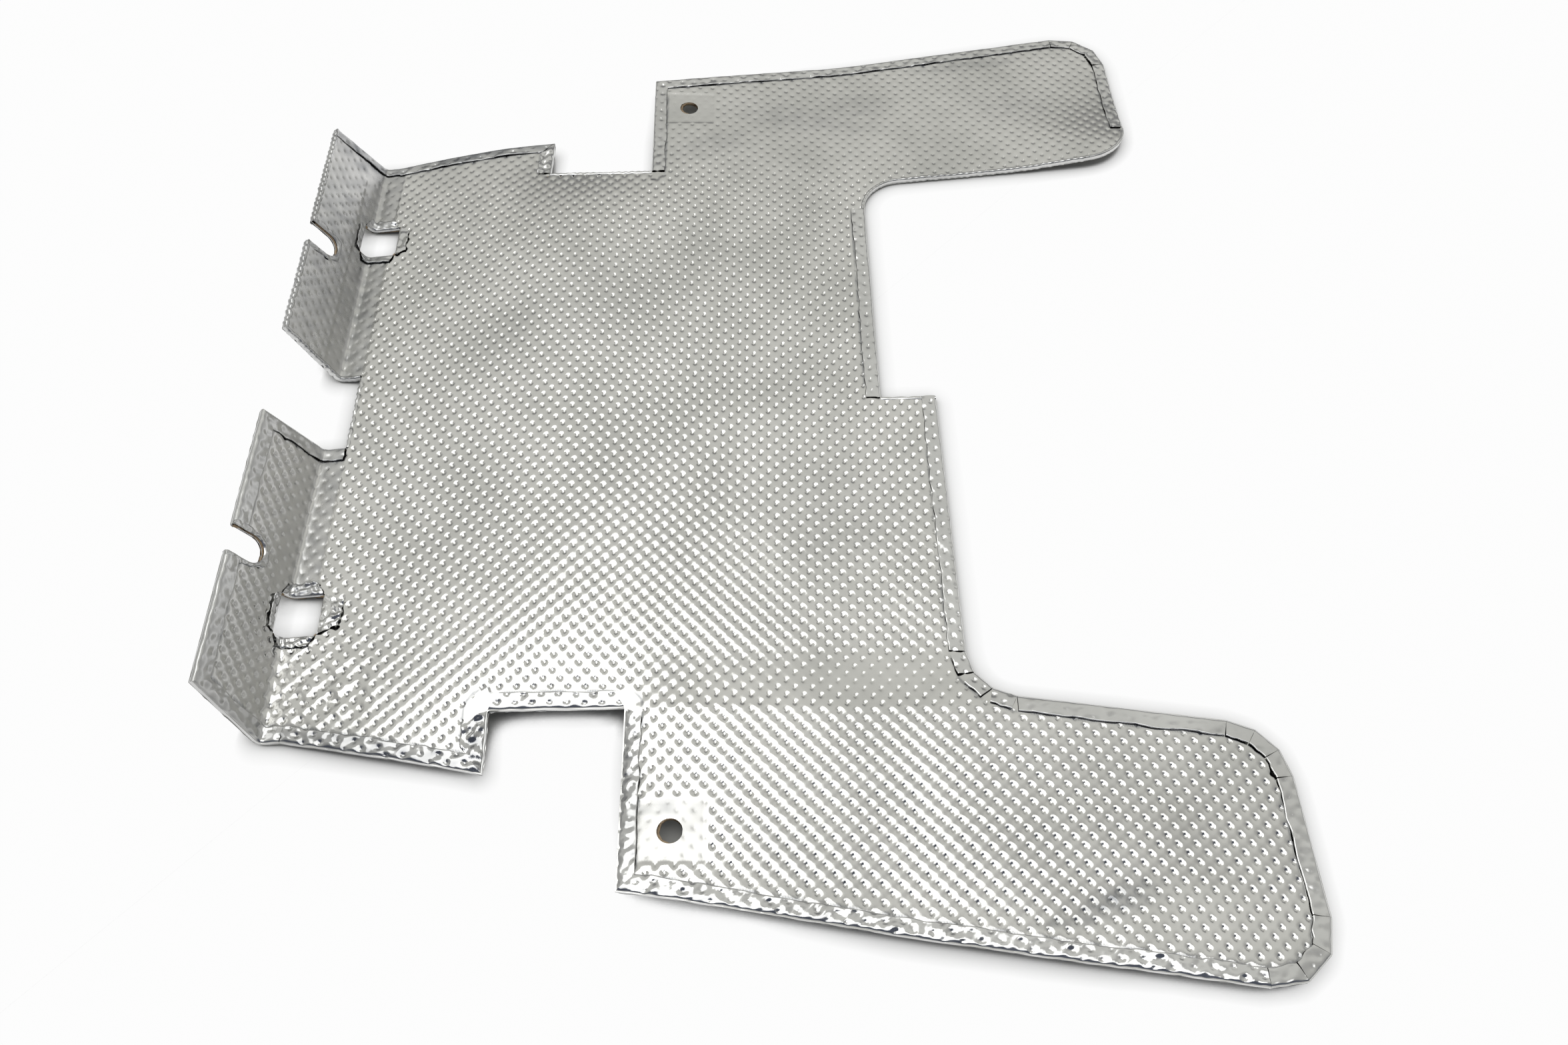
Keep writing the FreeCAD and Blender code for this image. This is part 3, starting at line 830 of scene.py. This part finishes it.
def hem_profile(hem):
    """Rows across the hem, from under the edge to its free edge."""
    if not hem:
        return np.array(WALL_PROFILE + BARE_PROFILE)
    rows = WALL_PROFILE + TURN_PROFILE
    for t in np.linspace(0.0, 1.0, HEM_FLAT_ROWS):
        rows.append((HEM_FLAT_E + (hem - HEM_FLAT_E) * t, HEM_FLAT_D - HEM_FLAT_FALL * t))
    return np.array(rows + [(hem + past, depth) for past, depth in FREE_EDGE_PROFILE])


def wander(count, scale, size):
    """Seeded noise along a strip, with a knot every scale steps."""
    knots = max(4, int(count / scale) + 4)
    values = rng.uniform(-size, size, knots)
    return np.interp(np.linspace(0, knots - 1, count), np.arange(knots), values)


def hem_relief(spots, e, d, hem, look):
    """Height that a hem's embossing, creases and rolled edge add to its profile."""
    share, crease, roll = look
    x, y = spots[..., 0], spots[..., 1]
    on_top = smooth(*ON_TOP_E, e) * (d > ON_TOP_D)
    relief = on_top * crease * waves(x, y, CREASE_WAVE, CREASE_SEED)
    if hem:
        loose = smooth(LOOSE_FROM, 1.0, e / hem)
        lift = LOOSE_H + LOOSE_PER_CREASE * crease
        relief = relief + on_top * share * emboss(x, y)
        relief = relief - roll * np.clip(1.0 - e / ROLL_REACH, 0.0, 1.0) ** 2 * (d > ROLL_D)
        relief = relief + loose * on_top * lift * (1.0 + waves(x, y, LOOSE_WAVE, LOOSE_SEED))
    return relief


# Strips of quads, as rows of flat places and their depths
strips = []
for begin, end, mitre, hem, side, tab in SIDES:
    e, d = hem_profile(hem).T
    look = HEM_LOOKS.get(side, HEM_PLAIN)
    length = np.linalg.norm(end - begin)
    way = (end - begin) / length
    inward = np.array([-way[1], way[0]])
    count = max(4, int(length / HEM_STEP))
    t = np.linspace(0.0, 1.0, count)
    fade = np.minimum(1.0, np.minimum(t, 1.0 - t) * length / HEM_END_FADE)
    width = 1.0 + wander(count, WIDTH_KNOT, WIDTH_WANDER) * fade
    out = wander(count, EDGE_KNOT, EDGE_WANDER + EDGE_PER_CREASE * look[1]) * fade
    teeth = np.zeros(count)
    if not hem:
        line = begin + np.outer(t * length, way) + SCALLOP_E * inward
        out = out - SCALLOP * np.minimum(emboss(line[:, 0], line[:, 1]), 0.0) * fade
        saw = np.abs(2.0 * ((t * length / TOOTH_PITCH) % 1.0) - 1.0)
        teeth = TEETH.get(side, 0.0) * saw * fade
        out = out - teeth
    start = np.outer(np.ones(count), e * mitre[0])
    stop = length - np.outer(np.ones(count), e * mitre[1])
    along = start + (stop - start) * t[:, None]
    across = np.outer(width, np.maximum(e, 0.0)) + out[:, None] * np.exp(-e / EDGE_REACH)
    spots = begin + along[..., None] * way + across[..., None] * inward
    tilt = rng.uniform(*TAB_TILT) * smooth(*TAB_TILT_E, e) if tab and hem else 0.0
    depth = np.outer(np.ones(count), d + tilt) + TOOTH_LIFT * np.outer(teeth, d > ROLL_D)
    strips.append((spots, depth + hem_relief(spots, e, d, hem, look)))

# Rolled lips of the slots: the wall below the face, and the roll on it
LIP_WALL = [(0.5, -2.3), (0.1, -1.9), (0.0, -1.3)]
LIP_ROLL = [(0.05, 0.1), (0.5, 0.55), (1.2, 0.7), (1.9, 0.6), (2.5, 0.35), (2.7, 0.0)]
LIP_COUNT = 90
LIP_PAST_EDGE = 0.2
LIP_KNOT, LIP_WANDER = 4, 0.35
LIP_CREASE, LIP_CREASE_E, LIP_WAVE = 0.2, (0.1, 0.8), 4.0
for slot_y in SLOTS:
    path = slot_loop(slot_y)
    run = np.concatenate([[0.0], np.cumsum(np.linalg.norm(np.diff(path, axis=0), axis=1))])
    t = np.linspace(0.0, 1.0, LIP_COUNT)
    spot = np.stack([np.interp(t * run[-1], run, path[:, k]) for k in (0, 1)], axis=-1)
    spot = spot[spot[:, 0] > -FLANGE_W - LIP_PAST_EDGE]
    way = np.gradient(spot, axis=0)
    way /= np.linalg.norm(way, axis=1, keepdims=True)
    outward = np.stack([way[:, 1], -way[:, 0]], axis=-1)
    for rows in (LIP_WALL, LIP_ROLL):
        e, d = np.array(rows).T
        ragged = 1.0 + wander(len(spot), LIP_KNOT, LIP_WANDER)
        spots = spot[:, None, :] + (e[None, :] * ragged[:, None])[..., None] * outward[:, None, :]
        crease = LIP_CREASE * waves(spots[..., 0], spots[..., 1], LIP_WAVE, LIP_SEED)
        strips.append((spots, d + crease * smooth(*LIP_CREASE_E, e)))

# Tabs of the back sheet, folded through each window on to the face
TAB_PROFILE = [(0.25, -2.0), (-0.1, -1.4), (-0.25, -0.7), (-0.15, -0.1), (0.2, 0.28), (0.7, 0.42)]
# The flat of a tab: where it starts, its rows and depth, and the rows past its width
TAB_FLAT_E, TAB_FLAT_ROWS, TAB_FLAT_D = 0.7, 10, 0.44
TAB_EDGE_PROFILE = [(0.05, 0.25), (0.0, 0.0)]
TAB_STEP, TAB_INSET = 0.6, 0.4
TAB_KNOT, TAB_WANDER = 5, 0.08
TAB_MEAN, TAB_WAVE = 0.8, 4.0
TAB_LIFT, TAB_LIFT_FROM = 0.35, 0.4
WINDOW_TABS = [
    # Window, edge of the window, width, how much the ends draw in, creases
    (0, "near", 5.2, 2.4, 0.34), (0, "panel", 9.5, 3.4, 0.36),
    (0, "far", 6.0, 2.6, 0.32), (0, "flange", 3.6, 1.4, 0.26),
    (1, "near", 4.6, 1.6, 0.08), (1, "panel", 5.4, 2.0, 0.12),
    (1, "far", 5.4, 2.2, 0.26), (1, "flange", 3.4, 1.2, 0.12),
]
for window, edge, width, draw_in, crease in WINDOW_TABS:
    low, high = -WINDOW_ON_FLANGE, WINDOW_ON_PANEL
    near, far = WINDOWS[window] - WINDOW_HALF_W, WINDOWS[window] + WINDOW_HALF_W
    a, b = {"near": ((high, near), (low, near)), "panel": ((high, far), (high, near)),
            "far": ((low, far), (high, far)), "flange": ((low, near), (low, far))}[edge]
    a, b = np.array(a), np.array(b)
    length = np.linalg.norm(b - a)
    way = (b - a) / length
    outward = np.array([-way[1], way[0]])
    rows = list(TAB_PROFILE)
    for t in np.linspace(0, 1, TAB_FLAT_ROWS)[1:]:
        rows.append((TAB_FLAT_E + (width - TAB_FLAT_E) * t, TAB_FLAT_D))
    rows += [(width + past, depth) for past, depth in TAB_EDGE_PROFILE]
    e, d = np.array(rows).T
    count = int(length / TAB_STEP)
    t = np.linspace(0.0, 1.0, count)
    inset = TAB_INSET + draw_in * smooth(0.0, width, e)
    along = inset + (length - 2.0 * inset) * t[:, None]
    ragged = 1.0 + wander(count, TAB_KNOT, TAB_WANDER)
    reach = np.maximum(e, 0.0)[None, :] * ragged[:, None] + np.minimum(e, 0.0)[None, :]
    spots = a + along[..., None] * way + reach[..., None] * outward
    bumpy = TAB_MEAN + waves(spots[..., 0], spots[..., 1], TAB_WAVE, TAB_SEED + window)
    lift = TAB_LIFT * smooth(TAB_LIFT_FROM, 1.0, e / width)
    strips.append((spots, d + smooth(*ON_TOP_E, e) * crease * bumpy + lift))

# One mesh of all strips, less what covers the slots
SLOT_COVER = -0.1
faces, first = [], 0
for spots, depth in strips:
    index = first + np.arange(depth.size).reshape(depth.shape)
    corners = [index[:-1, :-1], index[1:, :-1], index[1:, 1:], index[:-1, 1:]]
    faces.append(np.stack(corners, axis=-1).reshape(-1, 4))
    first += depth.size
spots = np.vstack([s.reshape(-1, 2) for s, _ in strips])
depth = np.concatenate([d.ravel() for _, d in strips])
faces = np.vstack(faces)
for slot_y in SLOTS:
    inside, _, _ = distance(spots[faces].mean(1), slot_loop(slot_y, SLOT_COVER))
    faces = faces[inside <= 0.0]
used, faces = compact(len(spots), faces)
points = place(spots[used, 0], spots[used, 1], depth[used])
no_tris = np.zeros((0, 3), int)
hem_piece = make_object("hem", points, faces, no_tris, BACK_FOIL, flat=spots[used])
dress(hem_piece, "back_sheet")

# Floor: white where the camera or a reflection sees it in the open, darkened into painted shadow near
# the sheet, and a diffuse grey for all other light
FLOOR_HALF, FLOOR_Z = 40, -0.0004
FLOOR_GREY = (0.50, 0.50, 0.48, 1)
FLOOR_WHITE = 0.97
# Painted contact shadow: the reach and steepness with which the sheet darkens the white
CONTACT_REACH, CONTACT_POWER = 0.009, 2.0
# Deep shade under the fixing holes, where little of the sky is open
DEEP_REACH, DEEP_SHADE = 0.03, (0.42, 0.54)
corners = [(-FLOOR_HALF, -FLOOR_HALF, 0), (FLOOR_HALF, -FLOOR_HALF, 0),
           (FLOOR_HALF, FLOOR_HALF, 0), (-FLOOR_HALF, FLOOR_HALF, 0)]
floor_mesh = bpy.data.meshes.new("floor")
floor_mesh.from_pydata(corners, [], [(0, 1, 2, 3)])
floor = bpy.data.objects.new("floor", floor_mesh)
bpy.context.scene.collection.objects.link(floor)
floor.location.z = FLOOR_Z
paper = bpy.data.materials.new("floor")
tree = empty_tree(paper)
link = tree.links.new
floor_out = node(tree, "ShaderNodeOutputMaterial", 600, 0)
lit = node(tree, "ShaderNodeBsdfDiffuse", 0, 0, Color=FLOOR_GREY)
white = node(tree, "ShaderNodeEmission", 0, -200, Color=(1, 1, 1, 1), Strength=1.0)
rays = node(tree, "ShaderNodeLightPath", -600, 200)
seen = node(tree, "ShaderNodeMath", -400, 200, operation="MAXIMUM")
link(rays.outputs["Is Camera Ray"], seen.inputs[0])
link(rays.outputs["Is Glossy Ray"], seen.inputs[1])
seen_too = node(tree, "ShaderNodeMath", -200, 200, operation="MAXIMUM")
link(seen.outputs[0], seen_too.inputs[0])
link(rays.outputs["Is Transmission Ray"], seen_too.inputs[1])
most = node(tree, "ShaderNodeMath", -100, 350, operation="MULTIPLY")
link(seen_too.outputs[0], most.inputs[0])
most.inputs[1].default_value = FLOOR_WHITE
open_sky = node(tree, "ShaderNodeAmbientOcclusion", -400, -100, Distance=CONTACT_REACH)
deepen = node(tree, "ShaderNodeMath", -200, -100, operation="POWER")
link(open_sky.outputs["AO"], deepen.inputs[0])
deepen.inputs[1].default_value = CONTACT_POWER
open_wide = node(tree, "ShaderNodeAmbientOcclusion", -600, -300, Distance=DEEP_REACH)
holes_dark = map_range(tree, -400, -300, *DEEP_SHADE)
link(open_wide.outputs["AO"], holes_dark.inputs["Value"])
shade = node(tree, "ShaderNodeMath", -100, -100, operation="MULTIPLY")
link(deepen.outputs[0], shade.inputs[0])
link(holes_dark.outputs[0], shade.inputs[1])
share = node(tree, "ShaderNodeMath", 0, 200, operation="MULTIPLY")
link(most.outputs[0], share.inputs[0])
link(shade.outputs[0], share.inputs[1])
both = node(tree, "ShaderNodeMixShader", 300, 0)
link(share.outputs[0], both.inputs[0])
link(lit.outputs[0], both.inputs[1])
link(white.outputs[0], both.inputs[2])
link(both.outputs[0], floor_out.inputs[0])
floor_mesh.materials.append(paper)

# Light: a world of four ramps, by height and by side
world = bpy.data.worlds.new("studio")
bpy.context.scene.world = world
tree = empty_tree(world)
link = tree.links.new
world_out = node(tree, "ShaderNodeOutputWorld", 600, 0)
background = node(tree, "ShaderNodeBackground", 300, 0)
link(background.outputs[0], world_out.inputs[0])
coords = node(tree, "ShaderNodeTexCoord", -900, 0)
split = node(tree, "ShaderNodeSeparateXYZ", -700, 0)
link(coords.outputs["Generated"], split.inputs[0])
across_y = map_range(tree, -500, 100, -1.0, 1.0)
link(split.outputs["Y"], across_y.inputs["Value"])
# Overhead, from the photographer's side to the far side: dark and bluish, then mid grey
side_ramp = node(tree, "ShaderNodeValToRGB", -300, 100)
set_stops(side_ramp, [
    (0.0, (0.08, 0.09, 0.12)), (0.36, (0.10, 0.11, 0.14)), (0.50, (0.45, 0.45, 0.44)),
    (0.62, (0.54, 0.54, 0.52)), (0.71, (0.73, 0.73, 0.70)), (0.84, (0.71, 0.71, 0.68)),
    (0.92, (0.62, 0.62, 0.59)), (1.0, (0.58, 0.58, 0.55)),
])
link(across_y.outputs[0], side_ramp.inputs[0])
# From a pale horizon up the walls: fairly light at the sides, dim on the far side
wall_ramp = node(tree, "ShaderNodeValToRGB", -300, -200)
set_stops(wall_ramp, [
    (0.0, (0.85, 0.85, 0.84)), (0.05, (0.60, 0.60, 0.59)), (0.34, (0.44, 0.44, 0.43)),
    (1.0, (0.4, 0.4, 0.4)),
])
link(split.outputs["Z"], wall_ramp.inputs[0])
far_ramp = node(tree, "ShaderNodeValToRGB", -300, -350)
set_stops(far_ramp, [
    (0.0, (0.80, 0.80, 0.79)), (0.05, (0.34, 0.34, 0.34)), (0.34, (0.26, 0.26, 0.26)),
    (1.0, (0.2, 0.2, 0.2)),
])
link(split.outputs["Z"], far_ramp.inputs[0])
# Shares: from the other walls to the far one, and from the walls to overhead
BLACK, WHITE = (0, 0, 0), (1, 1, 1)
way_ramp = node(tree, "ShaderNodeValToRGB", -300, -650)
set_stops(way_ramp, [(0.0, BLACK), (0.77, BLACK), (0.90, WHITE), (1.0, WHITE)])
link(across_y.outputs[0], way_ramp.inputs[0])
height_ramp = node(tree, "ShaderNodeValToRGB", -300, -500)
set_stops(height_ramp, [(0.0, BLACK), (0.34, BLACK), (0.56, WHITE), (1.0, WHITE)])
link(split.outputs["Z"], height_ramp.inputs[0])
wall_mix = node(tree, "ShaderNodeMix", -100, -200, data_type="RGBA")
link(way_ramp.outputs[0], wall_mix.inputs["Factor"])
link(wall_ramp.outputs[0], wall_mix.inputs["A"])
link(far_ramp.outputs[0], wall_mix.inputs["B"])
mix = node(tree, "ShaderNodeMix", 50, 0, data_type="RGBA")
link(height_ramp.outputs[0], mix.inputs["Factor"])
link(wall_mix.outputs["Result"], mix.inputs["A"])
link(side_ramp.outputs[0], mix.inputs["B"])
link(mix.outputs["Result"], background.inputs["Color"])

# Softboxes overhead: a large one, turned against the sheet, and a small one over the near arm
SOFTBOXES = [
    # Name, place, widths, turn, radiance
    ("softbox", (-0.338, -0.02, 1.6), (1.3, 1.5), 16.0, 1.35),
    ("softbox_side", (0.52, -0.30, 1.6), (0.62, 0.56), 0.0, 1.35),
]
for lamp_name, spot, (size_x, size_y), turn, radiance in SOFTBOXES:
    lamp = bpy.data.lights.new(lamp_name, "AREA")
    lamp.shape = "RECTANGLE"
    lamp.size = size_x
    lamp.size_y = size_y
    lamp.energy = radiance * math.pi * size_x * size_y
    softbox = bpy.data.objects.new(lamp_name, lamp)
    softbox.location = spot
    softbox.rotation_euler = Euler((0.0, 0.0, math.radians(turn)))
    bpy.context.scene.collection.objects.link(softbox)

# Camera
camera_data = bpy.data.cameras.new("camera")
camera_data.lens = 28.50
camera_data.sensor_width = 36.0
camera = bpy.data.objects.new("camera", camera_data)
camera.location = (0.01570, -0.37513, 0.46839)
camera.rotation_euler = Euler((math.radians(33.388), math.radians(0.566), math.radians(-1.402)), "XYZ")
bpy.context.scene.collection.objects.link(camera)
bpy.context.scene.camera = camera
bpy.context.scene.view_settings.view_transform = "Standard"
